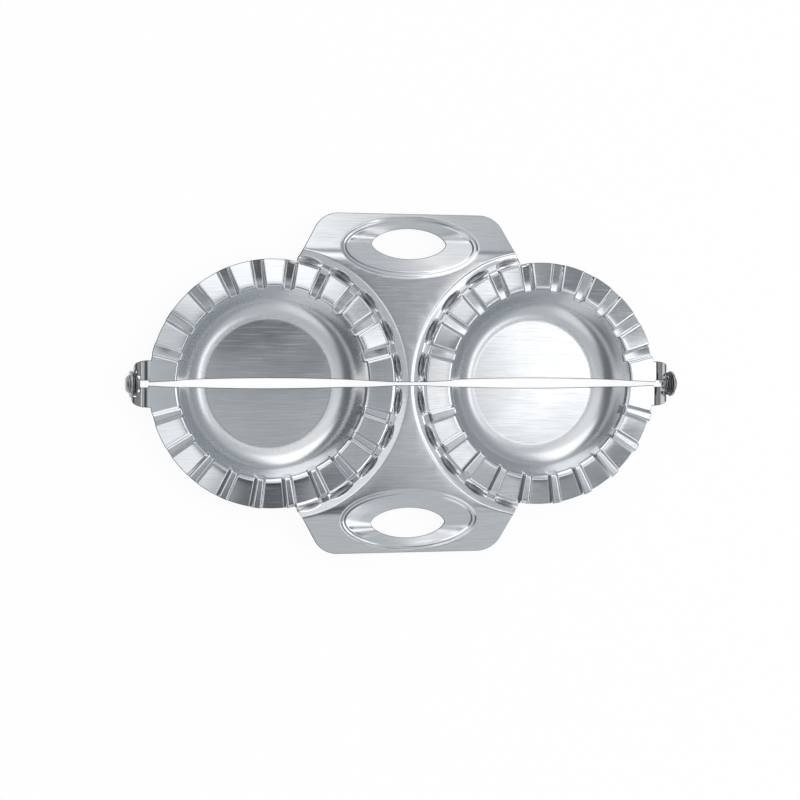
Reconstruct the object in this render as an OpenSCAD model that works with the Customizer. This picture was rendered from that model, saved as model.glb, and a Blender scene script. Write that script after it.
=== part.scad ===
// Double empanada press: two stamped steel leaves that fold together on a riveted hinge.
// The hinge axis runs along X. The open press stands on its bowl floors, on z = 0,
// and the origin lies on that surface under the middle of the hinge line.

/* [Sheet] */
// Thickness of the stamped sheet
sheet_t = 0.7; // [0.5:0.05:1]
// Gap left between the flat faces of the two closed leaves
closed_gap = 0.6; // [0.3:0.1:1.2]

/* [Bowls] */
// Distance between the centres of the two bowls
bowl_spacing = 106.6; // [105:0.2:112]
// Depth of a bowl floor below the hinge axis
bowl_depth = 12; // [10:0.5:16]
// Radius of the flat floor
floor_r = 24.8; // [20:0.2:26]
// Radius of the round between floor and wall
floor_round = 10; // [7:0.5:11]
// Slope of the wall above the horizontal
wall_angle = 65; // [60:1:70]
// Radius of the round at the mouth
mouth_round = 1.2; // [1:0.1:2]

/* [Pleated rim] */
// Outer radius of a rim
rim_r = 47.5; // [46:0.5:50]
// Number of pitches in one half rim, each with one wide flat
pitches = 11; // [7:1:13]
// Height from the low flats to the high flats
pleat_h = 1.8; // [1:0.1:2.4]
// Width across a narrow pleat at its top
pleat_w = 3.1; // [2:0.1:4]
// Slope of the pleat sides above the horizontal
pleat_slope = 68; // [50:1:75]
// Length of the pleats beyond the mouth on the web side, as a radius
pleat_end_r = 46.6; // [45:0.2:47.4]

/* [Web channel] */
// Width of the channel floor that follows each rim through the web
channel_w = 2.4; // [1.5:0.1:3]

/* [Tabs] */
// Distance from the hinge axis to the tip of a tab
tab_reach = 65.6; // [62:0.2:75]
// Half width of a tab where it leaves the rims
tab_root_half_w = 44.4; // [42:0.2:45]
// Distance from the hinge axis to the root corners of a tab
tab_root_y = 47.3; // [46:0.1:48]
// Half distance between the centres of the tab's round corners
tab_corner_x = 28; // [24:0.5:31]
// Radius of the tab's corners
tab_corner_r = 10.5; // [6:0.5:13]
// Distance from the hinge axis to the bend line of a tab
tab_bend_y = 50; // [48:0.5:56]
// Angle by which a tab bends away from the mating face
tab_droop = 8; // [2:1:12]

/* [Finger hole] */
// Length of the finger hole
hole_w = 29.4; // [20:0.2:34]
// Width of the finger hole
hole_h = 11.6; // [8:0.2:14]
// Distance from the hinge axis to the middle of the finger hole
hole_y = 54; // [52:0.5:56]
// Sharpness of the ends of the ovals, where 1 is an ellipse
oval_point = 1.2; // [1:0.05:1.6]

/* [Grip dish] */
// Length of the pressed dish around the finger hole
dish_w = 55.4; // [46:0.2:60]
// Width of the pressed dish
dish_h = 24.6; // [20:0.2:28]
// Distance from the hinge axis to the middle of the dish
dish_y = 52.7; // [50:0.5:55]
// Width of the ledge between the two steps of the dish
dish_ledge = 1.9; // [1:0.1:3]
// Depth of the first step of the dish
dish_step_1 = 0.9; // [0.5:0.1:1.5]
// Depth of the second step of the dish
dish_step_2 = 1.0; // [0.5:0.1:1.5]

/* [Hinge line] */
// Distance from the hinge axis to the trimmed edge of a leaf at the rims
edge_gap = 0.6; // [0.3:0.1:1.2]
// Further distance to the trimmed edge at the middle of a bowl
edge_bow = 1.35; // [0:0.05:2]

/* [Hinge ears] */
// Distance from a rim to the inner ear
ear_reach = 4.6; // [4:0.1:7]
// Distance from the hinge axis to the inner side of an ear strap
strap_inner_y = 1.3; // [0.8:0.1:2]
// Distance from the hinge axis to the outer side of an ear strap
strap_outer_y = 8.8; // [7.5:0.1:10]
// Radius of the round boss that holds the rivet
boss_r = 4.5; // [3.5:0.1:5]
// Outer radius of the bend from strap to ear
ear_bend_r = 1.5; // [1.2:0.1:2]
// Clearance between the parts that turn on each other
play = 0.1; // [0.05:0.05:0.3]

/* [Rivets] */
// Radius of the rivet shank
rivet_r = 1.5; // [1:0.1:2]
// Radial clearance between a shank and its holes
rivet_clearance = 0.05; // [0.02:0.01:0.1]
// Radius of the rivet head
head_r = 3.3; // [2.8:0.1:4]
// Thickness of the rivet head
head_t = 1.5; // [1:0.1:2]
// Radius of the clinched tail
tail_r = 2.1; // [1.9:0.1:2.6]
// Length of the clinched tail
tail_t = 0.8; // [0.5:0.1:1.2]
// Radius of the bore in the tail
tail_bore_r = 0.8; // [0.4:0.1:1.1]
// Depth of the bore in the tail
tail_bore_l = 1.6; // [0.8:0.1:2.4]

/* [Washers] */
// Outer radius of an outer washer
outer_washer_r = 5; // [4:0.1:6]
// Thickness of an outer washer
outer_washer_t = 1; // [0.5:0.1:1.4]
// Outer radius of an inner washer
inner_washer_r = 2.9; // [2.5:0.1:4]
// Thickness of an inner washer
inner_washer_t = 0.4; // [0.3:0.1:0.8]

/* [Hidden] */
$fn = 96;
// Height of the hinge axis above the surface that the press stands on
hinge_z = bowl_depth + sheet_t;
// Heights of the flat web and of the low and high pleat flats, measured from the hinge axis
web_z = -closed_gap / 2;
high_z = web_z + pleat_h / 2;
low_z = web_z - pleat_h / 2;
bowl_x = bowl_spacing / 2;
pitch_angle = 180 / pitches;
// Run of a pleat side in plan
pleat_run = pleat_h / tan(pleat_slope);
// Radii of the channel floor
channel_in_r = pleat_end_r + pleat_run;
channel_out_r = channel_in_r + channel_w;
// Half rim angle where the channel ends, at the first pleat past the root of the tab
web_angle = ceil(atan2(tab_root_y, bowl_x - tab_root_half_w) / pitch_angle) * pitch_angle;
// Reach of the cutting shapes past what they cut
spare = 2;
band_in_r = floor_r + spare;
pleat_in_r = band_in_r + spare;
groove_over = 0.5;
free_r = rim_r + ear_reach + 2 * spare;
die_base_z = -40;
die_top_z = 10;
// Where the ears and the rivet's parts lie along the hinge, measured from the middle
rim_end_x = bowl_x + rim_r;
inner_ear_x = rim_end_x + ear_reach;
outer_ear_x = inner_ear_x + sheet_t + play;
outer_washer_x = outer_ear_x + sheet_t;
head_x = outer_washer_x + outer_washer_t;
inner_washer_x = inner_ear_x - play - inner_washer_t;
tail_x = inner_washer_x - tail_t;
// The strap ends short of the rivet's tail, and a neck beside it reaches the ear
relief_x = tail_x - 2 * play;
neck_inner_y = boss_r + 4 * play;
steel = [0.74, 0.76, 0.78];
rivet_steel = [0.6, 0.61, 0.63];

// How far a sloped side moves in plan when the sheet surface is set back by d
function set_back(d, slope) = d * tan(slope / 2);

// Points of an arc from angle a0 to a1
function arc(c, r, a0, a1, n = 6) =
    [for (i = [0 : n]) let (a = a0 + (a1 - a0) * i / n) c + r * [cos(a), sin(a)]];

// Closed oval with slightly pointed ends
function oval(w, h, n = 48) =
    [for (i = [0 : n - 1]) let (a = 360 * i / n, s = sin(a))
        [w / 2 * cos(a), h / 2 * sign(s) * pow(abs(s), oval_point)]];

// Profile of the bowl's hollow, from the axis to above the mouth, set back by d
function bowl_profile(d) =
    let (
        floor_c = [floor_r, floor_round - bowl_depth],
        wall_foot = floor_c + floor_round * [sin(wall_angle), -cos(wall_angle)],
        wall_head_z = high_z - mouth_round * (1 - cos(wall_angle)),
        wall_l = (wall_head_z - wall_foot[1]) / sin(wall_angle),
        wall_head = wall_foot + wall_l * [cos(wall_angle), sin(wall_angle)],
        mouth_c = wall_head - mouth_round * [-sin(wall_angle), cos(wall_angle)]
    )
    concat(
        [[0, -bowl_depth - d]],
        arc(floor_c, floor_round + d, -90, wall_angle - 90),
        arc(mouth_c, mouth_round - d, 90 + wall_angle, 90),
        [[mouth_c[0], die_top_z], [0, die_top_z]]
    );

// Plan outline of half a tab, from its root corner round to the middle of its tip
function tab_half() =
    let (
        c = [tab_corner_x, tab_reach - tab_corner_r],
        root = [tab_root_half_w, tab_root_y],
        away = root - c,
        a0 = atan2(away[1], away[0]) + acos(tab_corner_r / norm(away))
    )
    concat([root], arc(c, tab_corner_r, a0, 90, 10));

module tab_outline() {
    half = tab_half();
    n = len(half);
    polygon(concat(
        [[tab_root_half_w, tab_root_y - spare]],
        half,
        [for (i = [n - 1 : -1 : 0]) [-half[i][0], half[i][1]]],
        [[-tab_root_half_w, tab_root_y - spare]]
    ));
}

// Plan outline of one leaf without its ears, on the +Y side of the hinge line
module leaf_outline() {
    bow_r = (rim_r * rim_r + edge_bow * edge_bow) / (2 * edge_bow);
    difference() {
        union() {
            for (x = [-bowl_x, bowl_x]) translate([x, 0]) circle(r = rim_r);
            translate([-tab_root_half_w, 0]) square([2 * tab_root_half_w, tab_root_y]);
            tab_outline();
        }
        translate([-2 * bowl_spacing, edge_gap - 2 * rim_r]) square([4 * bowl_spacing, 2 * rim_r]);
        for (x = [-bowl_x, bowl_x])
            translate([x, edge_gap + edge_bow - bow_r]) circle(r = bow_r, $fn = 360);
        translate([0, hole_y]) polygon(oval(hole_w, hole_h));
    }
}

// Straps that carry the ears, in plan, at both ends of a leaf
module strap_outline(bend_x) {
    for (side = [-1, 1]) scale([side, 1]) {
        translate([rim_end_x - 2 * spare, strap_inner_y])
            square([relief_x - rim_end_x + 2 * spare, strap_outer_y - strap_inner_y]);
        translate([rim_end_x, neck_inner_y])
            square([bend_x - rim_end_x, strap_outer_y - neck_inner_y]);
    }
}

// Ring about a bowl's axis between two angles, with a profile polygon
module ring(profile, a0, a1) {
    rotate([0, 0, a0]) rotate_extrude(angle = a1 - a0) polygon(profile);
}

// Raised rim band: full width on the free side, ending at the channel on the web side
module high_band(d) {
    end_r = pleat_end_r - set_back(d, pleat_slope);
    top = high_z - d;
    foot_z = low_z - d - spare;
    foot_r = end_r + (top - foot_z) / tan(pleat_slope);
    above_r = end_r - spare / tan(pleat_slope);
    difference() {
        ring([[band_in_r, die_base_z / 2], [free_r, die_base_z / 2], [free_r, top], [band_in_r, top]],
            -20, 200);
        ring([[foot_r, foot_z], [free_r + spare, foot_z], [free_r + spare, top + spare],
            [above_r, top + spare]], -30, web_angle);
    }
}

// Low band of the rim: out to the channel's outer side in the web, full width on the free side
module low_band(d) {
    out_r = channel_out_r + set_back(d, pleat_slope);
    floor_z = low_z - d;
    under_r = out_r - spare / tan(pleat_slope);
    over_r = out_r + (die_top_z + spare - floor_z) / tan(pleat_slope);
    difference() {
        ring([[band_in_r, floor_z], [free_r, floor_z], [free_r, die_top_z], [band_in_r, die_top_z]],
            -20, 200);
        ring([[under_r, floor_z - spare], [free_r + spare, floor_z - spare],
            [free_r + spare, die_top_z + spare], [over_r, die_top_z + spare]], -30, web_angle);
    }
}

// Straight bar with sloped sides along a radius: a ridge, or a groove when turned over
module pleat_bar(r0, r1, z_narrow, z_wide, w_narrow) {
    run = abs(z_wide - z_narrow) / tan(pleat_slope);
    translate([r0, 0, 0]) rotate([90, 0, 90]) linear_extrude(r1 - r0)
        polygon([[-w_narrow / 2, z_narrow], [w_narrow / 2, z_narrow],
            [w_narrow / 2 + run, z_wide], [-w_narrow / 2 - run, z_wide]]);
}

// Everything below the sheet surface around one bowl, with wide flats high and narrow grooves.
// The bars cut past the low level, so that the low band alone makes the floors of the grooves.
module bowl_die_high(d) {
    floor_w = pleat_w + 2 * set_back(d, pleat_slope);
    difference() {
        high_band(d);
        for (k = [1 : pitches - 1]) rotate([0, 0, k * pitch_angle])
            pleat_bar(pleat_in_r, free_r + spare, low_z - d - groove_over, die_top_z,
                floor_w - 2 * groove_over / tan(pleat_slope));
    }
}

// Narrow ridges around one bowl, which stand on the low band
module bowl_ridges(d) {
    for (k = [1 : pitches - 1]) rotate([0, 0, k * pitch_angle])
        pleat_bar(pleat_in_r, k * pitch_angle < web_angle ? pleat_end_r - d : rim_r + spare,
            high_z - d, die_base_z / 2, pleat_w - 2 * set_back(d, pleat_slope));
}

// Everything below the sheet surface of a leaf on the +Y side, set back by d
module leaf_die(d, wide_high) {
    difference() {
        union() {
            difference() {
                translate([-2 * bowl_spacing, -2 * rim_r, die_base_z - d])
                    cube([4 * bowl_spacing, 5 * rim_r, web_z - die_base_z]);
                for (side = [-1, 1]) scale([side, 1, 1]) translate([-bowl_x, 0, 0]) low_band(d);
                tab_droop_cut(d);
                dish_cut(d, 0, dish_step_1);
                dish_cut(d, dish_ledge, dish_step_1 + dish_step_2);
            }
            for (side = [-1, 1]) scale([side, 1, 1]) translate([-bowl_x, 0, 0]) {
                if (wide_high) bowl_die_high(d);
                if (!wide_high) bowl_ridges(d);
            }
        }
        for (side = [-1, 1]) translate([side * bowl_x, 0, 0])
            rotate_extrude() polygon(bowl_profile(d));
    }
}

// Takes away what lies above the bent part of the tab
module tab_droop_cut(d) {
    translate([0, tab_bend_y, web_z]) rotate([-tab_droop, 0, 0])
        translate([-tab_root_half_w - spare, 0, -d])
            cube([2 * (tab_root_half_w + spare), tab_reach, die_top_z]);
}

// One step of the dish around the finger hole
module dish_cut(d, inset, depth) {
    translate([0, dish_y, web_z - depth - d]) linear_extrude(die_top_z)
        polygon(oval(dish_w - 2 * inset + 2 * d, dish_h - 2 * inset + 2 * d));
}

// Bend and upright ear at the +X end, with the round boss about the rivet
module ear(face_x, strap_z) {
    bend_z = strap_z - ear_bend_r;
    bend_x = face_x + sheet_t - ear_bend_r;
    neck_l = strap_outer_y - neck_inner_y;
    intersection() {
        translate([bend_x, neck_inner_y, bend_z]) rotate([-90, 0, 0]) difference() {
            cylinder(r = ear_bend_r, h = neck_l);
            translate([0, 0, -spare]) cylinder(r = ear_bend_r - sheet_t, h = neck_l + 2 * spare);
        }
        translate([bend_x, 0, bend_z]) cube([2 * ear_bend_r, 2 * strap_outer_y, 2 * ear_bend_r]);
    }
    difference() {
        translate([face_x, 0, 0]) rotate([90, 0, 90]) linear_extrude(sheet_t) {
            circle(r = boss_r);
            intersection() {
                circle(r = strap_outer_y);
                translate([0, bend_z - 2 * strap_outer_y]) square([strap_outer_y, 2 * strap_outer_y]);
            }
        }
        translate([face_x - spare, 0, 0]) rotate([0, 90, 0])
            cylinder(r = rivet_r + rivet_clearance, h = sheet_t + 2 * spare);
    }
}

// Whole leaf on the +Y side, with its ears at face_x
module leaf(wide_high, face_x) {
    strap_z = wide_high ? high_z : low_z;
    intersection() {
        translate([0, 0, die_base_z / 2]) linear_extrude(-die_base_z) {
            leaf_outline();
            strap_outline(face_x + sheet_t - ear_bend_r);
        }
        difference() {
            leaf_die(0, wide_high);
            leaf_die(sheet_t, wide_high);
        }
    }
    for (side = [-1, 1]) scale([side, 1, 1]) ear(face_x, strap_z);
}

module back_leaf() {
    color(steel) translate([0, 0, hinge_z]) leaf(true, inner_ear_x);
}

module front_leaf() {
    color(steel) translate([0, 0, hinge_z]) mirror([0, 1, 0]) leaf(false, outer_ear_x);
}

// Turns a profile about the hinge axis: x is the radius and y the place along the hinge
module turned(profile) {
    translate([0, 0, hinge_z]) rotate([90, 0, 90]) rotate_extrude() polygon(profile);
}

module rivet() {
    bore_end = tail_x + tail_bore_l;
    edge = head_t / 3;
    color(rivet_steel) turned([
        [0, bore_end], [tail_bore_r, bore_end - tail_bore_r / 2], [tail_bore_r, tail_x],
        [tail_r - edge, tail_x], [tail_r, tail_x + edge], [tail_r, inner_washer_x],
        [rivet_r, inner_washer_x], [rivet_r, head_x], [head_r, head_x],
        [head_r, head_x + head_t - 2 * edge], [head_r - edge, head_x + head_t - edge / 2],
        [head_r - 2 * edge, head_x + head_t], [0, head_x + head_t]
    ]);
}

module washer(x, r, t) {
    hole_r = rivet_r + rivet_clearance;
    chamfer = t / 5;
    color(rivet_steel) turned([
        [hole_r, x], [r - chamfer, x], [r, x + chamfer], [r, x + t - chamfer],
        [r - chamfer, x + t], [hole_r, x + t]
    ]);
}

module left_rivet() { mirror([1, 0, 0]) rivet(); }
module right_rivet() { rivet(); }
module left_outer_washer() { mirror([1, 0, 0]) washer(outer_washer_x, outer_washer_r, outer_washer_t); }
module right_outer_washer() { washer(outer_washer_x, outer_washer_r, outer_washer_t); }
module left_inner_washer() { mirror([1, 0, 0]) washer(inner_washer_x, inner_washer_r, inner_washer_t); }
module right_inner_washer() { washer(inner_washer_x, inner_washer_r, inner_washer_t); }

back_leaf();
front_leaf();
left_rivet();
right_rivet();
left_outer_washer();
right_outer_washer();
left_inner_washer();
right_inner_washer();
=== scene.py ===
import math

import bpy
import numpy as np
from mathutils import Matrix, Vector
from mathutils.geometry import delaunay_2d_cdt


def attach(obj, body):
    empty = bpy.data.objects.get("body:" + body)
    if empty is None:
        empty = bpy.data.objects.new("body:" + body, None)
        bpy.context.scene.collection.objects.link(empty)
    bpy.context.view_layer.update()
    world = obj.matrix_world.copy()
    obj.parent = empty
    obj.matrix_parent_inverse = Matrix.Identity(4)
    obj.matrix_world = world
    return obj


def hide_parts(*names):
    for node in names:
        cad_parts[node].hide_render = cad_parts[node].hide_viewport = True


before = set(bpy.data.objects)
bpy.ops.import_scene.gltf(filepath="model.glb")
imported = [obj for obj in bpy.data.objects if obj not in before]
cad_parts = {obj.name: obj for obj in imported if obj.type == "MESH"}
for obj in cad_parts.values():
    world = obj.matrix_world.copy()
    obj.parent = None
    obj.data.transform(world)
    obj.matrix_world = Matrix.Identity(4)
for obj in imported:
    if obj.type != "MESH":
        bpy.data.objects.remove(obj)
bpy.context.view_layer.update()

bl_info = {
    "name": "Double empanada press",
    "version": (1, 0, 0),
    "blender": (4, 5, 0),
    "location": "3D View > Sidebar > Press",
    "description": "Draws a stamped steel double press around its packed solids",
    "category": "Object",
}

# All sizes below are in millimetres.
# The hinge axis is y = 0, z = 0, and HINGE_Z lifts it to its place.
MM = 0.001
HINGE_Z = 12.7
SHEET_T = 0.7
BOWL_X = 53.3
BOWL_DEPTH = 12.0
FLOOR_R = 24.8
FLOOR_ROUND = 10.0
WALL_ANGLE = math.radians(65)
MOUTH_ROUND = 1.2
RIM_R = 47.5
PITCHES = 11
PITCH = 180 / PITCHES
WEB_Z = -0.3
HIGH_Z = 0.6
LOW_Z = -1.2
PLEAT_H = HIGH_Z - LOW_Z
PLEAT_W = 3.1
PLEAT_SLOPE = math.radians(68)
PLEAT_RUN = PLEAT_H / math.tan(PLEAT_SLOPE)
PLEAT_MID_R = 42.5
LIP_R = 53.0
TAB_REACH = 65.6
TAB_ROOT = (44.4, 47.3)
TAB_CORNER = (28.0, 55.1)
TAB_CORNER_R = 10.5
TAB_BEND_Y = 50.0
TAB_BEND_REACH = 2.8
TAB_DROOP = math.tan(math.radians(8))
# (width, height, distance of the middle from the hinge axis)
HOLE = (29.4, 11.6, 54.0)
DISH = (55.4, 24.6, 52.7)
HOLE_POINT = 1.2
EDGE_GAP = 0.6
EDGE_BOW = 1.35
STRAP_Y = (1.3, 2.2, 3.1, 4.0, 4.9, 6.2, 7.5, 8.8)
NECK_FROM = 4
STUB_FROM = 2
STRAP_FALL = math.tan(math.radians(5))
RELIEF_X = 103.9
EAR_BEND_R = 1.5
EAR_R = 8.8
BOSS_R = 4.5
EAR_HOLE_R = 1.55
RIM_END_X = BOWL_X + RIM_R
EAR_FACE_X = {"back": 105.4, "front": 106.2}
# (distance from the middle plane, radius, thickness)
OUTER_WASHER = (106.9, 4.99, 1.0)
INNER_WASHER = (104.9, 2.89, 0.4)
WASHER_HOLE_R = 1.55

# Fine forms that the solids leave plain.
GROOVE_EXTRA = 0.3
GROOVE_SLOPE = math.tan(math.radians(4.2))
# (angle from the web side, slope in degrees, rising outward) where the wide flats are high or low.
HIGH_FLAT_SLOPES = ((14.5, 0.6), (18.5, -3), (161, -3), (166, 0))
LOW_FLAT_SLOPES = ((47, 1), (51, -0.5), (63.5, -0.5), (67.5, -3), (161, -3), (166, 0))
SLOPE_FROM_R = 38.4
BEND_FLAT = 1.4
HOLD_LINE = 0.22
PARTING_Z = -3.4
RIDGE_MOUTH_R = 36.05
LOW_MOUTH_ROUND = 2.35
WEB_FADE = (78.0, 83.5)
GROOVE_TILT_SINES = (0.22, 0.44)
SLOPE_END_R = (46.6, 47.6)
LIP_LEVEL_R = 48.4
LIP_DROOP_R = 50
POCKET_R = 49.15
POCKET_HALF_W = 1.3
POCKET_HALF_ANGLE = 6.2
LAST_POCKET = 4
LAST_POCKET_SHARE = 0.45
DISH_STEP = 2.7
DISH_POINT = 1.03
DISH_SECTION = ((-0.4, 0), (0.35, 0), (1.25, -0.55), (1.95, -0.68), (DISH_STEP, -1.2),
                (5.5, -1.75), (8.0, -2.2))
STRAP_LINES_X = (101.3, 101.7, 102.1, 102.5, 102.9, 103.4, RELIEF_X)
STRAP_TROUGH = 0.5
STRAP_TROUGH_X = RIM_END_X + 1.6
STRAP_TROUGH_HALF_W = 0.7
STUB_END_X = 105.22
EAR_FOOT = 0.9
BAND_RADII = (39.6, 41.4, 43.2, 44.8, 45.8, 46.2, 46.45, 46.7, 46.9, 47.1, 47.3, RIM_R)
LIP_RADII = (RIM_R, 47.65, 47.8, 47.95, 48.1, 48.3, 48.5, 48.75, 49.0, 49.25, 49.5, 49.75,
             50.0, 50.2, 50.4, 50.6, 50.9, 51.3, 51.8, 52.3, LIP_R)


# -------- settings


class PressSizes(bpy.types.PropertyGroup):
    """Sizes of the sheet's fine forms, which a user may change."""

    outer_bend: bpy.props.FloatProperty(
        name="Outer bend", description="Radius on the outer side of a pleat's bends",
        default=0.85 * MM, min=0.72 * MM, max=1.1 * MM, precision=5, unit="LENGTH")
    inner_bend: bpy.props.FloatProperty(
        name="Inner bend", description="Radius on the inner side of a pleat's bends",
        default=0.3 * MM, min=0.1 * MM, max=0.5 * MM, precision=5, unit="LENGTH")
    edge_break: bpy.props.FloatProperty(
        name="Edge break", description="Width of the tiny chamfer along every cut edge",
        default=0.23 * MM, min=0.02 * MM, max=0.3 * MM, precision=5, unit="LENGTH")
    pocket_depth: bpy.props.FloatProperty(
        name="Pocket depth", description="Depth of the pockets pressed beside the wide flats",
        default=1.15 * MM, min=0.0, max=1.4 * MM, precision=5, unit="LENGTH")


class PressFinish(bpy.types.PropertyGroup):
    """Colours and polish of the metals."""

    leaf_colour: bpy.props.FloatVectorProperty(
        name="Leaf colour", description="Colour of the stamped stainless sheet",
        subtype="COLOR", size=3, min=0, max=1, default=(0.74, 0.76, 0.78))
    rivet_colour: bpy.props.FloatVectorProperty(
        name="Rivet colour", description="Colour of the rivets",
        subtype="COLOR", size=3, min=0, max=1, default=(0.58, 0.59, 0.61))
    washer_colour: bpy.props.FloatVectorProperty(
        name="Washer colour", description="Colour of the washers",
        subtype="COLOR", size=3, min=0, max=1, default=(0.62, 0.63, 0.65))
    grain_depth: bpy.props.FloatProperty(
        name="Grain depth", description="Strength of the brush lines in the surface",
        default=0.12, min=0, max=1)


class StageLook(bpy.types.PropertyGroup):
    """Floor and lamps of the studio."""

    floor_colour: bpy.props.FloatVectorProperty(
        name="Floor colour", description="Colour of the floor under the press",
        subtype="COLOR", size=3, min=0, max=1, default=(0.9, 0.9, 0.9))
    lamp_power: bpy.props.FloatProperty(
        name="Lamp power", description="Power of each soft lamp", default=1.2, min=0, unit="POWER")


# -------- plane curves


def rounded(points, radii, steps):
    """A polyline in a plane whose inner corners are arcs of the given radii."""
    points = [np.array(p, float) for p in points]
    out = [points[0]]
    for before, corner, after, radius, n in zip(points, points[1:], points[2:], radii, steps):
        u = (before - corner) / np.linalg.norm(before - corner)
        v = (after - corner) / np.linalg.norm(after - corner)
        opening = math.acos(max(-1.0, min(1.0, float(u @ v))))
        turn = math.pi - opening
        reach = radius * math.tan(turn / 2)
        middle = (u + v) / np.linalg.norm(u + v)
        centre = corner + middle * radius / math.sin(opening / 2)
        first = corner + u * reach - centre
        last = corner + v * reach - centre
        for i in range(n + 1):
            w = i / n
            swing = math.sin((1 - w) * turn) * first + math.sin(w * turn) * last
            out.append(centre + swing / math.sin(turn))
    out.append(points[-1])
    return np.array(out)


def full_turn(count):
    """Angles of points spread evenly round a circle."""
    return np.linspace(0, 2 * math.pi, count, endpoint=False)


def arc(radius, angles):
    """Points of a circle about the origin."""
    return [(radius * math.cos(a), radius * math.sin(a)) for a in angles]


def oval(width, height, middle_y, point):
    """Points of an oval, whose ends are more pointed the more point is above 1."""
    angles = full_turn(120)
    s = np.sin(angles)
    return np.stack([width / 2 * np.cos(angles),
                     middle_y + height / 2 * np.sign(s) * np.abs(s) ** point], 1)


def smooth_step(x, low, high):
    """0 below low, 1 above high, and a smooth rise between them."""
    w = np.clip((np.asarray(x, float) - low) / (high - low), 0, 1)
    return w * w * (3 - 2 * w)


def edge_y(dx):
    """Distance from the hinge axis to a leaf's trimmed edge, at dx from the middle of a bowl."""
    bow_r = (RIM_R ** 2 + EDGE_BOW ** 2) / (2 * EDGE_BOW)
    if abs(dx) >= RIM_R:
        return EDGE_GAP
    return EDGE_GAP + EDGE_BOW - bow_r + math.sqrt(bow_r ** 2 - dx * dx)


def edge_angle(r):
    """Angle in degrees at which a circle about a bowl's axis meets the trimmed edge."""
    a = EDGE_GAP / r
    for _ in range(6):
        a = math.asin(edge_y(r * math.cos(a)) / r)
    return math.degrees(a)


def strap_angle(y):
    """Angle in degrees at which the rim's circle lies y from the hinge axis at the strap."""
    return 180 - math.degrees(math.asin(y / RIM_R))


def tab_side():
    """Points of the tab's straight side and round corner, from the rim to its straight tip."""
    root = np.array(TAB_ROOT)
    centre = np.array(TAB_CORNER)
    away = root - centre
    start = math.atan2(away[1], away[0]) + math.acos(TAB_CORNER_R / np.linalg.norm(away))
    corner = [centre + p for p in np.array(arc(TAB_CORNER_R, np.linspace(start, math.pi / 2, 19)))]
    return root, corner


def side_angle(r):
    """Angle in degrees at which a circle about a bowl's axis meets the tab's side."""
    root, corner = tab_side()
    a = np.array([BOWL_X - root[0], root[1]])
    b = np.array([BOWL_X - corner[0][0], corner[0][1]])
    d = b - a
    q = (d @ d, 2 * a @ d, a @ a - r * r)
    t = (-q[1] + math.sqrt(q[1] ** 2 - 4 * q[0] * q[2])) / (2 * q[0])
    p = a + t * d
    return math.degrees(math.atan2(p[1], p[0]))


def droop(y):
    """How far the sheet drops beyond the bend of the tab."""
    y = np.asarray(y, float)
    near, far = TAB_BEND_Y - TAB_BEND_REACH, TAB_BEND_Y + TAB_BEND_REACH
    bend = TAB_DROOP * (y - near) ** 2 / (4 * TAB_BEND_REACH)
    return np.where(y < near, 0, np.where(y < far, bend, TAB_DROOP * (y - TAB_BEND_Y)))


# -------- sheet meshes


def point_normals(pts, faces):
    """The normal at each point, from the faces around it weighted by their angles there."""
    normals = np.zeros_like(pts)
    for f in faces:
        p = pts[list(f)]
        n = sum(np.cross(p[i] - p[0], p[i + 1] - p[0]) for i in range(1, len(p) - 1))
        n /= max(np.linalg.norm(n), 1e-12)
        for i in range(len(f)):
            u = p[i - 1] - p[i]
            v = p[(i + 1) % len(f)] - p[i]
            c = u @ v / max(np.linalg.norm(u) * np.linalg.norm(v), 1e-12)
            normals[f[i]] += n * math.acos(max(-1.0, min(1.0, c)))
    return normals / np.linalg.norm(normals, axis=1)[:, None]


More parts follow.
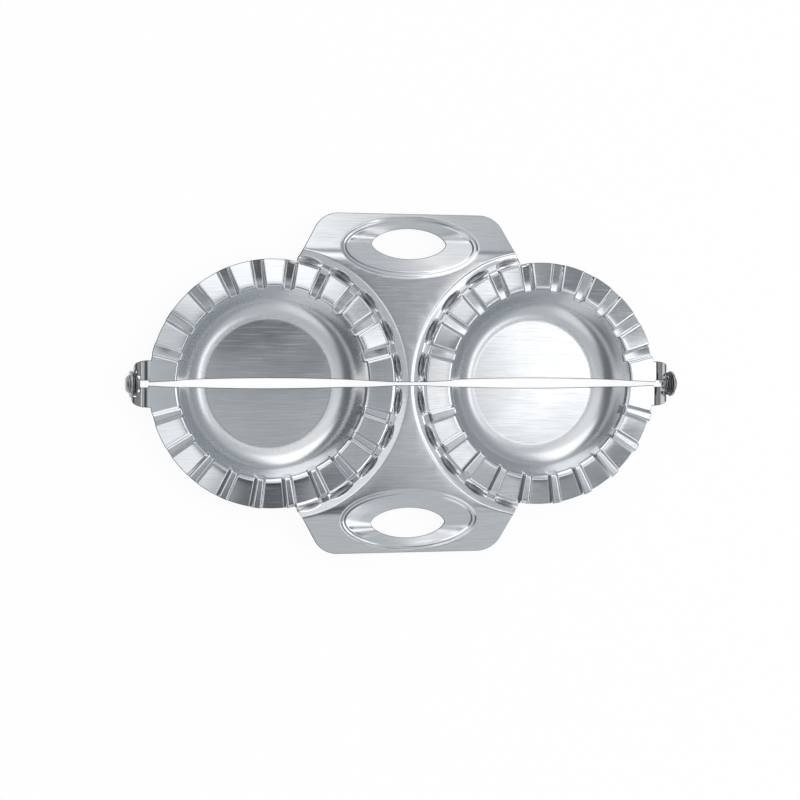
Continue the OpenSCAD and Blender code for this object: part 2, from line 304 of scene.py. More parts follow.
class Sheet:
    """One side of a sheet, gathered from patches and then given its thickness."""

    def __init__(self):
        self.points = []
        self.faces = []

    def add(self, points, faces):
        base = len(self.points)
        self.points += [tuple(map(float, p)) for p in points]
        self.faces += [tuple(base + i for i in f) for f in faces]

    def grid(self, rows, flip=False):
        """rows is an array of shape (rows, columns, 3)."""
        m, n = rows.shape[:2]
        corners = [i * n + j for i in range(m - 1) for j in range(n - 1)]
        faces = [(c, c + 1, c + n + 1, c + n) for c in corners]
        self.add(rows.reshape(-1, 3), [f[::-1] for f in faces] if flip else faces)

    def mirrored(self):
        """Adds the same again on the other side of x = 0."""
        base = len(self.points)
        self.points += [(-x, y, z) for x, y, z in self.points]
        self.faces += [tuple(base + i for i in f)[::-1] for f in self.faces]

    def merged(self):
        """Points and faces with coinciding points joined and collapsed faces dropped."""
        pts = np.array(self.points)
        unused = np.ones(len(pts), bool)
        unused[[i for f in self.faces for i in f]] = False
        pts[unused] = pts[self.faces[0][0]]
        _, first, inverse = np.unique(np.round(pts, 4), axis=0, return_index=True,
                                      return_inverse=True)
        faces = []
        for f in self.faces:
            g = tuple(dict.fromkeys(int(inverse[i]) for i in f))
            if len(g) > 2:
                faces.append(g)
        return pts[first], faces

    def solid(self, thickness, edge_break):
        """The sheet as a closed mesh with chamfered cut edges, and where their faces start."""
        pts, faces = self.merged()
        normals = point_normals(pts, faces)
        used = dict.fromkeys((a, b) for f in faces for a, b in zip(f, f[1:] + f[:1]))
        border = [(a, b) for a, b in used if (b, a) not in used]
        outward = {}
        for a, b in border:
            for i in (a, b):
                o = np.cross(pts[b] - pts[a], normals[i])
                outward.setdefault(i, []).append(o / np.linalg.norm(o))
        top = pts.copy()
        for i, ways in outward.items():
            o = sum(ways)
            length = np.linalg.norm(o)
            # Where the ways cancel, the point stays.
            if length > 1e-6:
                o /= length
                top[i] -= o * edge_break / max(0.5, ways[0] @ o)
        bottom = top - thickness * normals

        count = len(pts)
        rim = {i: 2 * count + 2 * k for k, i in enumerate(sorted(outward))}
        side = [pts[i] - d * normals[i] for i in rim for d in (edge_break, thickness - edge_break)]
        out = faces + [tuple(count + i for i in f)[::-1] for f in faces]
        cut_from = len(out)
        for a, b in border:
            out += [(b, a, rim[a], rim[b]), (rim[b], rim[a], rim[a] + 1, rim[b] + 1),
                    (rim[b] + 1, rim[a] + 1, count + a, count + b)]
        return np.vstack([top, bottom, side]), out, cut_from


def linked(name, data):
    """A new object in the scene."""
    obj = bpy.data.objects.new(name, data)
    bpy.context.scene.collection.objects.link(obj)
    return obj


def mesh_object(name, points, faces, materials, cut_from=math.inf):
    """A smooth-shaded object from points about the hinge. Faces from cut_from on are cut edges."""
    mesh = bpy.data.meshes.new(name)
    lifted = (np.asarray(points) + [0, 0, HINGE_Z]) * MM
    mesh.from_pydata(lifted.tolist(), [], faces)
    mesh.validate()
    for m in materials:
        mesh.materials.append(m)
    for poly in mesh.polygons:
        poly.material_index = int(poly.index >= cut_from)
    mesh.shade_smooth()
    mesh.set_sharp_from_angle(angle=math.radians(38))
    mesh.update()
    return linked(name, mesh)


# -------- the leaf's forms


class Rim:
    """The pleated rim of one leaf: where its radial lines run and how high each profile lies.

    A line is a function that gives its angle in degrees at a radius, and a share, which is 0 on
    the wide flats and 1 on the narrow pleats.
    """

    def __init__(self, wide_high, outer_bend, inner_bend, pocket_depth):
        self.wide_high = wide_high
        self.pocket_depth = pocket_depth
        self.wide_z = HIGH_Z if wide_high else LOW_Z
        self.narrow_z = LOW_Z - GROOVE_EXTRA if wide_high else HIGH_Z
        bends = (inner_bend, outer_bend) if wide_high else (outer_bend, inner_bend)
        side = rounded([(-BEND_FLAT, PLEAT_H), (0, PLEAT_H), (PLEAT_RUN, 0),
                        (PLEAT_RUN + BEND_FLAT, 0)], bends, (5, 5))
        # A holding line stands close to each arc.
        first, last = side[1], side[-2]
        side = np.vstack([[first - (HOLD_LINE, 0)], side[1:-1], [last + (HOLD_LINE, 0)]])
        self.offsets = side[:, 0]
        self.shares = side[:, 1] / PLEAT_H
        self.root_angle = side_angle(RIM_R)
        self.build_lines()
        self.slope = self.line_slopes()
        self.web_wide, self.web_narrow = self.rim_section(False), self.rim_section(True)

    def half_top(self, r):
        return PLEAT_W / 2 * r / PLEAT_MID_R

    def side_line(self, centre, side, offset):
        """A line that keeps its offset from the edge of the pleat's top."""
        return lambda r: centre + side * math.degrees((self.half_top(r) + offset) / r)

    def pleat_lines(self, k):
        """The radial lines of pleat k."""
        centre = k * PITCH
        profile = list(zip(self.offsets, self.shares))
        lines = [(self.side_line(centre, -1, o), t) for o, t in profile[::-1]]
        if k == (PITCHES - 1) // 2:
            # One line passes through the root of the tab's side.
            o = math.radians(centre - self.root_angle) * RIM_R - self.half_top(RIM_R)
            t = float(np.interp(o, self.offsets, self.shares))
            lines.append((self.side_line(centre, -1, o), t))
            lines.sort(key=lambda line: line[0](RIM_R))
        lines.append((lambda r: centre, 1.0))
        return lines + [(self.side_line(centre, 1, o), t) for o, t in profile]

    def build_lines(self):
        def far_edge_angle(r):
            return 180 - edge_angle(r)

        pleats = [self.pleat_lines(k) for k in range(1, PITCHES)]
        lines = [(edge_angle, 0.0)]
        left = edge_angle
        for k in range(PITCHES):
            right = pleats[k][0][0] if k < PITCHES - 1 else far_edge_angle
            parts = 10 if k <= LAST_POCKET else 5
            fractions = [i / parts for i in range(1, parts)]
            if k == PITCHES - 1:
                a, b = left(RIM_R), right(RIM_R)
                fractions = sorted((strap_angle(y) - a) / (b - a) for y in STRAP_Y)
            for f in fractions:
                lines.append((lambda r, f=f, a=left, b=right: a(r) + f * (b(r) - a(r)), 0.0))
            if k < PITCHES - 1:
                lines += pleats[k]
                left = pleats[k][-1][0]
        lines.append((far_edge_angle, 0.0))
        self.lines = lines
        self.share = np.array([t for _, t in lines])
        self.at_rim = np.array([f(RIM_R) for f, _ in lines])
        self.web = 1 - smooth_step(self.at_rim, *WEB_FADE)
        self.root_line = self.nearest_line(self.root_angle)
        self.strap_lines = [self.nearest_line(strap_angle(y)) for y in STRAP_Y]

    def nearest_line(self, angle):
        return int(np.argmin(np.abs(self.at_rim - angle)))

    def line_slopes(self):
        """How much each line rises outward. The narrow pleats nearest the hinge stay level."""
        at, degrees = zip(*(HIGH_FLAT_SLOPES if self.wide_high else LOW_FLAT_SLOPES))
        wide = np.tan(np.radians(np.interp(self.at_rim, at, degrees)))
        tilted = smooth_step(np.sin(np.radians(self.at_rim)), *GROOVE_TILT_SINES)
        narrow = (GROOVE_SLOPE if self.wide_high else 0.0) * tilted
        return wide * (1 - self.share) + narrow * self.share

    def bowl_section(self, narrow):
        """Floor, round and straight wall, which all lines share, and then one kind of mouth."""
        z = self.narrow_z if narrow else self.wide_z
        corner_r = FLOOR_R + FLOOR_ROUND * math.tan(WALL_ANGLE / 2)

        def wall_r(height):
            return corner_r + (height + BOWL_DEPTH) / math.tan(WALL_ANGLE)

        parting = (wall_r(PARTING_Z), PARTING_Z)
        low = rounded([(FLOOR_R - 2, -BOWL_DEPTH), (corner_r, -BOWL_DEPTH), parting],
                      [FLOOR_ROUND], [13])
        wall = [low[-2] + (low[-1] - low[-2]) * w for w in (0.3, 0.65)]
        mouth_r, mouth_round = wall_r(z), MOUTH_ROUND
        if not self.wide_high:
            if narrow:
                mouth_r = RIDGE_MOUTH_R
            else:
                mouth_round = LOW_MOUTH_ROUND
        mouth = rounded([parting, (mouth_r, z), (mouth_r + 3, z)], [mouth_round], [8])
        floor_line = (FLOOR_R - 0.8, -BOWL_DEPTH)
        flat_line = mouth[-2] + (0.25, 0)
        return np.vstack([[floor_line], low[1:-1], wall, mouth[:-1], [flat_line]])

    def rim_section(self, narrow):
        """Height against radius over the web side of the rim, without the pockets."""
        if self.wide_high:
            points = ([(36, self.narrow_z), (46.4, self.narrow_z), (47.3, -1.0), (49.7, -0.98)]
                      if narrow else [(36, HIGH_Z), (47.1, HIGH_Z), (47.75, -1.0), (49.7, -0.98)])
        else:
            points = ([(36, HIGH_Z), (46.6, HIGH_Z), (47.3, -0.95), (49.7, -0.98)]
                      if narrow else [(36, LOW_Z), (47.1, LOW_Z), (48.1, -1.15), (49.7, -1.0)])
        return rounded(points + [(52.3, WEB_Z), (56, WEB_Z)], [0.5, 0.45, 1.6, 2.0], [6, 6, 6, 8])

    def pocket(self, r, angles):
        """Depth of the lens-shaped pockets at the outer ends of the wide flats."""
        k = np.clip(np.floor(angles / PITCH), 0, LAST_POCKET)
        along = (angles - (k + 0.5) * PITCH) / POCKET_HALF_ANGLE
        across = (r - POCKET_R) / POCKET_HALF_W
        room = np.clip(1 - across ** 2 - along * along, 0, 1)
        return self.pocket_depth * np.where(k == LAST_POCKET, LAST_POCKET_SHARE, 1.0) * room ** 0.65

    def web_z(self, r):
        """Heights of all lines at radius r as they are on the web side."""
        wide = np.interp(r, self.web_wide[:, 0], self.web_wide[:, 1])
        narrow = np.interp(r, self.web_narrow[:, 0], self.web_narrow[:, 1])
        angles = np.array([f(r) for f, _ in self.lines])
        return wide * (1 - self.share) + narrow * self.share - self.pocket(r, angles)

    def band_z(self, r):
        """Heights of all lines at radius r on the pleated band."""
        flat = self.wide_z + (self.narrow_z - self.wide_z) * self.share
        cone = self.slope * (r - SLOPE_FROM_R) * (1 - self.web * smooth_step(r, *SLOPE_END_R))
        return flat + (self.web_z(r) - flat) * self.web + cone

    def place(self, r, z):
        angles = np.radians([f(float(q)) for (f, _), q in zip(self.lines, r)])
        return np.stack([r * np.cos(angles), r * np.sin(angles), z], 1)

    def inner_rows(self):
        """Rings of points from the floor to the rim's circle."""
        rows = []
        for a, b in zip(self.bowl_section(False), self.bowl_section(True)):
            r, z = (a[i] + (b[i] - a[i]) * self.share for i in (0, 1))
            rows.append(self.place(r, z))
        for r in BAND_RADII:
            rows.append(self.place(np.full(len(self.share), r), self.band_z(r)))
        return np.array(rows)

    def lip_rows(self):
        """Rings of points on the web side from the rim to the lip, up to the side of the tab."""
        off_rim = self.band_z(RIM_R) - self.web_z(RIM_R)
        last = self.root_line + 1
        anchor = self.root_line
        while self.share[anchor] > 0 or self.at_rim[anchor] > 70:
            anchor -= 1
        rows = []
        for r in LIP_RADII:
            z = (self.web_z(r) + off_rim * (1 - smooth_step(r, RIM_R, LIP_LEVEL_R)))[:last]
            angles = np.array([f(r) for f, _ in self.lines[:last]])
            start = angles[anchor]
            scale = (side_angle(r) - start) / (angles[-1] - start)
            angles[anchor:] = start + (angles[anchor:] - start) * scale
            a = np.radians(angles)
            y = r * np.sin(a)
            z = z - droop(y) * smooth_step(r, RIM_R, LIP_DROOP_R)
            rows.append(np.stack([r * np.cos(a), y, z], 1))
        return np.array(rows)


def triangulate(loops, inside, keep):
    """Plane triangles between closed loops and inner points. keep takes or drops a middle."""
    pts, edges = [], []
    for loop in loops:
        base, n = len(pts), len(loop)
        pts += [tuple(p[:2]) for p in loop]
        edges += [(base + i, base + (i + 1) % n) for i in range(n)]
    pts += [tuple(p) for p in inside]
    out, _, faces, given, _, _ = delaunay_2d_cdt([Vector(p) for p in pts], edges, [], 0, 1e-7)
    flat = np.array([pts[ids[0]] if ids else tuple(p) for p, ids in zip(out, given)])
    chosen = []
    for f in faces:
        p = flat[list(f)]
        area = np.cross(p[1] - p[0], p[2] - p[0])
        if abs(area) > 1e-6 and keep(p.mean(0)):
            chosen.append(tuple(f) if area > 0 else tuple(f)[::-1])
    return flat, chosen


def inside_loop(loop):
    """A test for points inside a closed loop of plane points."""
    loop = np.array([p[:2] for p in loop])
    nxt = np.roll(loop, -1, axis=0)

    def test(p):
        crosses = (loop[:, 1] > p[1]) != (nxt[:, 1] > p[1])
        a, b = loop[crosses], nxt[crosses]
        x = a[:, 0] + (p[1] - a[:, 1]) * (b[:, 0] - a[:, 0]) / (b[:, 1] - a[:, 1])
        return (x > p[0]).sum() % 2 == 1

    return test


def dish_rings():
    """(width, height, middle, point, level) of the dish's ovals, from outside in."""
    section = rounded(DISH_SECTION, [1.1, 0.9, 0.8, 1.2, 6], [6, 5, 5, 6, 4])
    deepest = section[-1][0]

    def shrunk(inset):
        return np.array([DISH[0] - 2 * inset, DISH[1] - 2 * inset, DISH[2], DISH_POINT])

    at_step = shrunk(DISH_STEP)
    at_hole = np.array([*HOLE, HOLE_POINT])
    rings = []
    for inset, level in section:
        w = (inset - DISH_STEP) / (deepest - DISH_STEP)
        shape = shrunk(inset) if w <= 0 else at_step + (at_hole - at_step) * w
        rings.append((*shape, level))
    return rings


def web_points(in_outline, near_dish):
    """Points spread over the web and the tab, closer together along the tab's bend."""
    points = []
    for y in (*np.arange(4, 46, 4.0), *np.arange(46.9, 53.3, 0.5), *np.arange(54, 65, 2.5)):
        for x in np.arange(-46, 46.1, 1.6 if 46.5 < y < 53.5 else 4.0):
            off_lips = min(np.hypot(x + BOWL_X, y), np.hypot(x - BOWL_X, y)) > LIP_R + 0.5
            around = ((x, y), (x - 0.5, y), (x + 0.5, y), (x, y + 0.5))
            if off_lips and all(map(in_outline, around)) and not near_dish((x, y)):
                points.append((x, y))
    return points


def web_and_tab(sheet, lip):
    """Adds the web and the tab with its dish. lip is the outer ring of the left rim."""
    left = [(x - BOWL_X, y, z) for x, y, z in lip]
    side = [(-x, y) for x, y in tab_side()[1]]
    tip = [(x, TAB_REACH) for x in np.linspace(-TAB_CORNER[0], 0, 15)[1:]]
    start, stop = np.array(left[-1][:2]), np.array(side[0])
    straight = [tuple(start + (stop - start) * w) for w in np.linspace(0, 1, 9)[1:-1]]
    half = [p[:2] for p in left] + straight + side + tip
    outline = half + [(-x, y) for x, y in half[::-1]][1:]

    rings = dish_rings()
    width, height, middle = rings[0][:3]
    mouth = oval(width, height, middle, DISH_POINT)
    in_outline, in_dish = inside_loop(outline), inside_loop(mouth)
    near_dish = inside_loop(oval(width + 1, height + 1, middle, DISH_POINT))
    flat, faces = triangulate([outline, mouth], web_points(in_outline, near_dish),
                              lambda p: in_outline(p) and not in_dish(p))
    points = np.column_stack([flat, WEB_Z - droop(flat[:, 1])])
    # The shared ring keeps the lip's heights.
    lip_z = {(round(x, 4), round(y, 4)): z for x, y, z in left}
    for i, (x, y) in enumerate(flat):
        points[i, 2] = lip_z.get((round(-abs(x), 4), round(y, 4)), points[i, 2])
    sheet.add(points, faces)

    rows = []
    for *shape, level in rings:
        p = oval(*shape)
        shallower = 1 - 0.5 * smooth_step(p[:, 1], 55, 65)
        rows.append(np.column_stack([p, WEB_Z - droop(p[:, 1]) + level * shallower]))
    rows = np.array(rows)
    sheet.grid(np.concatenate([rows, rows[:, :1]], axis=1))


def ear_outline(joint, bend_z):
    """The ear's outline in (y, z), from the ends of the bend's lines round to its boss."""
    top = joint[-1]
    top_r = math.hypot(*top)
    radius = min(EAR_R, top_r + 0.35)
    foot = -math.pi / 2 + math.asin(EAR_FOOT / radius)
    outline = list(joint)
    for i, a in enumerate(np.linspace(math.atan2(top[1], top[0]), foot, 22)[1:]):
        r = top_r + (radius - top_r) * min(1, (i + 1) / 5)
        outline.append((r * math.cos(a), r * math.sin(a)))
    outline += [(0.3, -radius + 0.3), (0.0, -radius + EAR_FOOT), (0.0, -6.0)]
    boss_end = math.asin(bend_z / BOSS_R) - 2 * math.pi
    return outline + arc(BOSS_R, np.linspace(-math.pi / 2, boss_end, 46))


def strap_and_ear(sheet, rim, edge_points, face_x):
    """Adds the strap, its bend and the upright ear at the left end. edge_points lie on the rim."""
    bend_x = face_x + SHEET_T - EAR_BEND_R
    bend_z = rim.wide_z - STRAP_FALL * (bend_x - RIM_END_X) - EAR_BEND_R
    neck_y = STRAP_Y[NECK_FROM]

    def side_y(y, u):
        """y at the distance u along the strap, whose outer side rounds off towards the ear."""
        if y <= neck_y:
            return y
        outer = math.sqrt(max(8.9 ** 2 - 0.75 * max(0.0, u - RIM_END_X) ** 2, 1))
        return neck_y + (y - neck_y) * (outer - neck_y) / (STRAP_Y[-1] - neck_y)

    def strap_top(u):
        trough = STRAP_TROUGH * math.exp(-((u - STRAP_TROUGH_X) / STRAP_TROUGH_HALF_W) ** 2)
        return rim.wide_z - STRAP_FALL * (u - RIM_END_X) - trough

    def row(u, first=0, last=None):
        return np.array([(-u, side_y(y, u), strap_top(u)) for y in STRAP_Y[first:last]])

    strap = np.array([edge_points] + [row(u) for u in STRAP_LINES_X])
    sheet.grid(strap)
    to_bend = np.linspace(RELIEF_X, bend_x, 3)[1:]
    stub = [row(u, STUB_FROM, NECK_FROM + 1) for u in (*to_bend, STUB_END_X) if u <= STUB_END_X]
    sheet.grid(np.array([strap[-1][STUB_FROM:NECK_FROM + 1], *stub]))

    neck = [strap[-1][NECK_FROM:]] + [row(u, NECK_FROM) for u in to_bend]
    for a in np.linspace(0, math.pi / 2, 8)[1:]:
        u = bend_x + EAR_BEND_R * math.sin(a)
        z = strap_top(bend_x) - EAR_BEND_R * (1 - math.cos(a))
        neck.append([(-u, side_y(y, bend_x + EAR_BEND_R * a), z) for y in STRAP_Y[NECK_FROM:]])
    sheet.grid(np.array(neck))

    outline = ear_outline([(p[1], p[2]) for p in neck[-1]], bend_z)
    hole = arc(EAR_HOLE_R, full_turn(28))
    in_ear, in_hole = inside_loop(outline), inside_loop(hole)
    ring = arc(3, full_turn(20))
    extra = [p for p in ring if in_ear(p)] + [(3, -5.5), (5.5, -4)]
    flat, faces = triangulate([outline, hole], extra, lambda p: in_ear(p) and not in_hole(p))
    # Seen from outside, y runs to the left, so the triangles are turned over.
    sheet.add([(-(face_x + SHEET_T), y, z) for y, z in flat], [f[::-1] for f in faces])


def bowl_floor(sheet, ring):
    """Adds the flat floor inside the rim's innermost ring, in the bowl's own frame."""
    xs = np.linspace(ring[-1][0], ring[0][0], 27)[1:-1]
    loop = [tuple(p[:2]) for p in ring] + [(x, edge_y(x)) for x in xs]
    extra = []
    for r in (8, 15, 20):
        extra += arc(r, np.linspace(0.35, math.pi - 0.35, r))
    flat, faces = triangulate([loop], extra, inside_loop(loop))
    sheet.add([(x - BOWL_X, y, -BOWL_DEPTH) for x, y in flat], faces)


def leaf_sheet(wide_high, face_x, sizes):
    """The inner face of one leaf on the +Y side of the hinge."""
    rim = Rim(wide_high, sizes.outer_bend / MM, sizes.inner_bend / MM, sizes.pocket_depth / MM)
    inner, lip = rim.inner_rows(), rim.lip_rows()
    sheet = Sheet()
    shift = np.array([-BOWL_X, 0, 0])
    sheet.grid(inner + shift, flip=True)
    sheet.grid(lip + shift, flip=True)
    bowl_floor(sheet, inner[0])
    strap_and_ear(sheet, rim, inner[-1][rim.strap_lines] + shift, face_x)
    sheet.mirrored()
    web_and_tab(sheet, lip[-1])
    return sheet


def turned_object(name, profile, side, materials, count=56):
    """A solid turned about the hinge axis from (radius, distance along the hinge) points."""
    points, rings, faces = [], [], []
    angles = full_turn(count)
    for r, x in profile:
        ring = arc(r, angles if r > 0 else [0])
        rings.append([len(points) + i for i in range(len(ring))])
        points += [(side * x, y, z) for y, z in ring]
    pairs = list(zip(rings, rings[1:]))
    if len(rings[0]) > 1:
        pairs.append((rings[-1], rings[0]))
    for a, b in pairs:
        for i in range(count):
            j = (i + 1) % count
            face = (a[i % len(a)], a[j % len(a)], b[j % len(b)], b[i % len(b)])
            faces.append(tuple(dict.fromkeys(face))[::side])
    return mesh_object(name, points, faces, materials)


# -------- finishes

# Steps per metre along the hinge, across it and upward.
FINE_BRUSH = (110.0, 3400.0, 700.0)
BROAD_BRUSH = (45.0, 900.0, 200.0)
SCRATCHES = (60.0, 5200.0, 900.0)
# Shares of the metal's colour between and on the brush lines.
BRUSH_TINT = (0.935, 1.055)
# How strongly the painted shade darkens the pockets and the straps, and the share of the colour
# that is left there.
PAINTED_SHADE_AMOUNT = 0.78
PAINTED_SHADE_COLOUR = 0.16
STRAP_PAINTED_SHADE = 0.85
DRAWN_FROM_R = (24.2, 25.4)
DRAWN_TO_R = (35.0, 37.5)
DISH_BORDER = 3.0
DISH_DRAWN = 0.45
# The cut edges are the leaf's steel darkened, as painted shade along every trimmed edge.
CUT_EDGE_PAINTED_SHADE = 0.22
FASTENER_SHADE = 0.6
BUMP_DISTANCE = 0.00002
WHITE = (1, 1, 1, 1)


class Wires:
    """Short ways to add and join shader nodes in a tree."""

    def __init__(self, tree):
        self.tree = tree

    def node(self, kind, **settings):
        n = self.tree.nodes.new(kind)
        for key, value in settings.items():
            setattr(n, key, value)
        return n

    def feed(self, socket, value):
        """Links another node's output to the socket, or sets the socket's constant."""
        if isinstance(value, bpy.types.NodeSocket):
            self.tree.links.new(value, socket)
        else:
            socket.default_value = value

    def fill(self, n, **inputs):
        """Gives inputs of a node their values or links, and returns the node."""
        for label, value in inputs.items():
            self.feed(n.inputs[label], value)
        return n

    def math(self, operation, a, b=None):
        n = self.node("ShaderNodeMath", operation=operation)
        self.feed(n.inputs[0], a)
        if b is not None:
            self.feed(n.inputs[1], b)
        return n.outputs[0]

    def products(self, a, b, c, d):
        """a times b plus c times d."""
        return self.math("ADD", self.math("MULTIPLY", a, b), self.math("MULTIPLY", c, d))

    def rest(self, value, share):
        """1 less the share of the value."""
        return self.math("SUBTRACT", 1.0, self.math("MULTIPLY", value, share))

    def between(self, value, low, high, to_low=0.0, to_high=1.0):
        n = self.node("ShaderNodeMapRange", interpolation_type="SMOOTHSTEP")
        limits = {"From Min": low, "From Max": high, "To Min": to_low, "To Max": to_high}
        return self.fill(n, Value=value, **limits).outputs["Result"]

    def place(self, stretch):
        """Object coordinates, stretched."""
        n = self.node("ShaderNodeVectorMath", operation="MULTIPLY")
        self.feed(n.inputs[0], self.node("ShaderNodeTexCoord").outputs["Object"])
        self.feed(n.inputs[1], stretch)
        return n.outputs[0]

    def noise(self, stretch, scale, detail, roughness):
        n = self.fill(self.node("ShaderNodeTexNoise"), Vector=self.place(stretch), Scale=scale,
                      Detail=detail, Roughness=roughness)
        return n.outputs["Fac"]

    def mixed_colour(self, factor, a, b):
        """a where the factor is 0 and b where it is 1."""
        n = self.node("ShaderNodeMix", data_type="RGBA")
        return self.fill(n, Factor=factor, A=a, B=b).outputs["Result"]

    def mixed_shader(self, factor, a, b):
        """The same for two shader nodes."""
        n = self.fill(self.node("ShaderNodeMixShader"), Fac=factor)
        self.feed(n.inputs[1], a.outputs[0])
        self.feed(n.inputs[2], b.outputs[0])
        return n


def rewired(owner):
    """Empties the node tree of a material or world, and returns its wires."""
    owner.use_nodes = True
    owner.node_tree.nodes.clear()
    return Wires(owner.node_tree)


def node_group(name, inputs, outputs):
    """The wires of a new group with named value sockets, and its input and output nodes."""
    group = bpy.data.node_groups.new(name, "ShaderNodeTree")
    for label, default in inputs:
        s = group.interface.new_socket(label, in_out="INPUT", socket_type="NodeSocketFloat")
        s.default_value = default
    for label in outputs:
        group.interface.new_socket(label, in_out="OUTPUT", socket_type="NodeSocketFloat")
    w = Wires(group)
    return w, w.node("NodeGroupInput"), w.node("NodeGroupOutput")


def brush_group():
    """Brush lines along the hinge: height for the bump, and shade for the colour."""
    w, given, made = node_group("brush_lines", [("Fineness", 1.0)], ["Height", "Shade"])
    fine = w.noise(FINE_BRUSH, given.outputs["Fineness"], 3.0, 0.6)
    broad = w.noise(BROAD_BRUSH, given.outputs["Fineness"], 2.0, 0.5)
    w.fill(made, Height=w.products(fine, 0.85, broad, 0.15),
           Shade=w.between(w.products(fine, 0.92, broad, 0.08), 0.3, 0.7))
    return w.tree


def zone_group():
    """Drawn is the drawn zone of bowls and dishes, and the other output is painted shade over the
    pockets and the straps.
    """
    w, _, made = node_group("bowl_zones", [], ["Drawn", "Dim"])
    split = w.fill(w.node("ShaderNodeSeparateXYZ"), Vector=w.place((1 / MM,) * 3))
    x = w.math("ABSOLUTE", split.outputs["X"])
    y = w.math("ABSOLUTE", split.outputs["Y"])
    dx = w.math("SUBTRACT", x, BOWL_X)
    r = w.math("SQRT", w.products(dx, dx, y, y))

    # Masks for the painted shade in the pockets at the outer ends of the wide flats, and on the
    # straps and ears.
    pitch = math.radians(PITCH)
    angle = w.math("ARCTAN2", y, w.math("MULTIPLY", dx, -1.0))
    along = w.math("SUBTRACT", w.math("MODULO", angle, pitch), pitch / 2)
    along = w.math("DIVIDE", along, math.radians(POCKET_HALF_ANGLE))
    across = w.math("DIVIDE", w.math("SUBTRACT", r, POCKET_R), POCKET_HALF_W)
    room = w.math("SUBTRACT", 1.0, w.products(along, along, across, across))
    near_web = w.between(angle, 4.4 * pitch, 4.9 * pitch, 1.0, 0.0)
    pocket = w.math("MULTIPLY", w.between(room, 0.05, 0.6), near_web)
    strap = w.between(x, RIM_END_X + 0.1, RIM_END_X + 0.5, 0.0, STRAP_PAINTED_SHADE)

    bowl = w.math("MULTIPLY", w.between(r, *DRAWN_FROM_R), w.between(r, *DRAWN_TO_R, 1.0, 0.0))
    in_x = w.math("DIVIDE", x, DISH[0] / 2 - DISH_BORDER)
    in_y = w.math("DIVIDE", w.math("SUBTRACT", y, DISH[2]), DISH[1] / 2 - DISH_BORDER)
    dish = w.between(w.products(in_x, in_x, in_y, in_y), 0.8, 1.0, DISH_DRAWN, 0.0)
    w.fill(made, Drawn=w.math("MAXIMUM", bowl, dish), Dim=w.math("MAXIMUM", pocket, strap))
    return w.tree


def smudge_group():
    """Soft uneven patches of handling and drawing oil, and sparse fine scratches."""
    w, given, made = node_group("smudges", [("Scale", 40.0)], ["Patch", "Scratch"])
    patch = w.noise((1.0, 1.0, 1.0), given.outputs["Scale"], 3.0, 0.55)
    scratch = w.noise(SCRATCHES, 1.0, 1.0, 0.4)
    w.fill(made, Patch=w.between(patch, 0.35, 0.7), Scratch=w.between(scratch, 0.6, 0.72))
    return w.tree


def steel_material(name, colour, groups, rough, grain, rough_drawn=None):
    """Brushed steel. With rough_drawn it has a leaf's drawn zones and its painted shade in the
    pockets and on the straps.
    """
    mat = bpy.data.materials.new(name)
    w = rewired(mat)
    brush = w.node("ShaderNodeGroup", node_tree=groups["brush"])
    smudge = w.node("ShaderNodeGroup", node_tree=groups["smudge"])
    zoned = rough_drawn is not None

    def shaded(share):
        return (*[min(1.0, c * share) for c in colour], 1)

    shade = brush.outputs["Shade"]
    if zoned:
        zone = w.node("ShaderNodeGroup", node_tree=groups["zone"])
        drawn = zone.outputs["Drawn"]
        # Drawing has smoothed the brush lines away.
        shade = w.products(shade, w.rest(drawn, 0.8), drawn, 0.4)
        rough = w.between(drawn, 0.0, 1.0, rough, rough_drawn)
        grain = w.math("MULTIPLY", w.rest(drawn, 0.95), grain)
    tint = w.mixed_colour(shade, *map(shaded, BRUSH_TINT))
    if zoned:
        # Painted shade darkens the pockets' floors and the straps.
        painted_shade = w.math("MULTIPLY", zone.outputs["Dim"], PAINTED_SHADE_AMOUNT)
        tint = w.mixed_colour(painted_shade, tint, shaded(PAINTED_SHADE_COLOUR))
    rough = w.math("ADD", rough, w.math("MULTIPLY", smudge.outputs["Patch"], 0.03))
    rough = w.math("ADD", rough, w.math("MULTIPLY", smudge.outputs["Scratch"], 0.06))
    bump = w.fill(w.node("ShaderNodeBump"), Distance=BUMP_DISTANCE, Strength=grain,
                  Height=brush.outputs["Height"])
    shader = w.fill(w.node("ShaderNodeBsdfPrincipled"), Metallic=1.0, Roughness=rough,
                    Normal=bump.outputs["Normal"], **{"Base Color": tint})
    w.fill(w.node("ShaderNodeOutputMaterial"), Surface=shader.outputs[0])
    return mat


def finishes():
    """All metals, made once."""
    names = ("leaf_steel", "cut_edge", "rivet_steel", "washer_steel")
    if names[0] in bpy.data.materials:
        return {name: bpy.data.materials[name] for name in names}
    look = bpy.context.scene.press_finish
    groups = {"brush": brush_group(), "zone": zone_group(), "smudge": smudge_group()}
    # (colour, share of it that is left, roughness, grain, roughness where drawn)
    looks = (
        (look.leaf_colour, 1.0, 0.1, look.grain_depth, 0.26),
        # The cut edges are a darker copy of the leaf's steel, painted shade along the trimmed
        # edges.
        (look.leaf_colour, CUT_EDGE_PAINTED_SHADE, 0.3, 0.1, None),
        (look.rivet_colour, FASTENER_SHADE, 0.32, 0.15, None),
        (look.washer_colour, FASTENER_SHADE, 0.28, 0.15, None),
    )
    return {name: steel_material(name, [c * share for c in colour], groups, rough, grain, drawn)
            for name, (colour, share, rough, grain, drawn) in zip(names, looks)}


# -------- operators


def fit_piece(obj, node, body):
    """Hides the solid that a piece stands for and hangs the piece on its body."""
    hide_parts(node)
    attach(obj, body)


def turned_pair(node, profile, metal):
    """Makes a turned piece of the front body at both ends of the hinge."""
    for side, word in ((-1, "left"), (1, "right")):
        obj = turned_object(f"{word}_{node}_turned", profile, side, [metal])
        fit_piece(obj, f"{word}_{node}", "front")


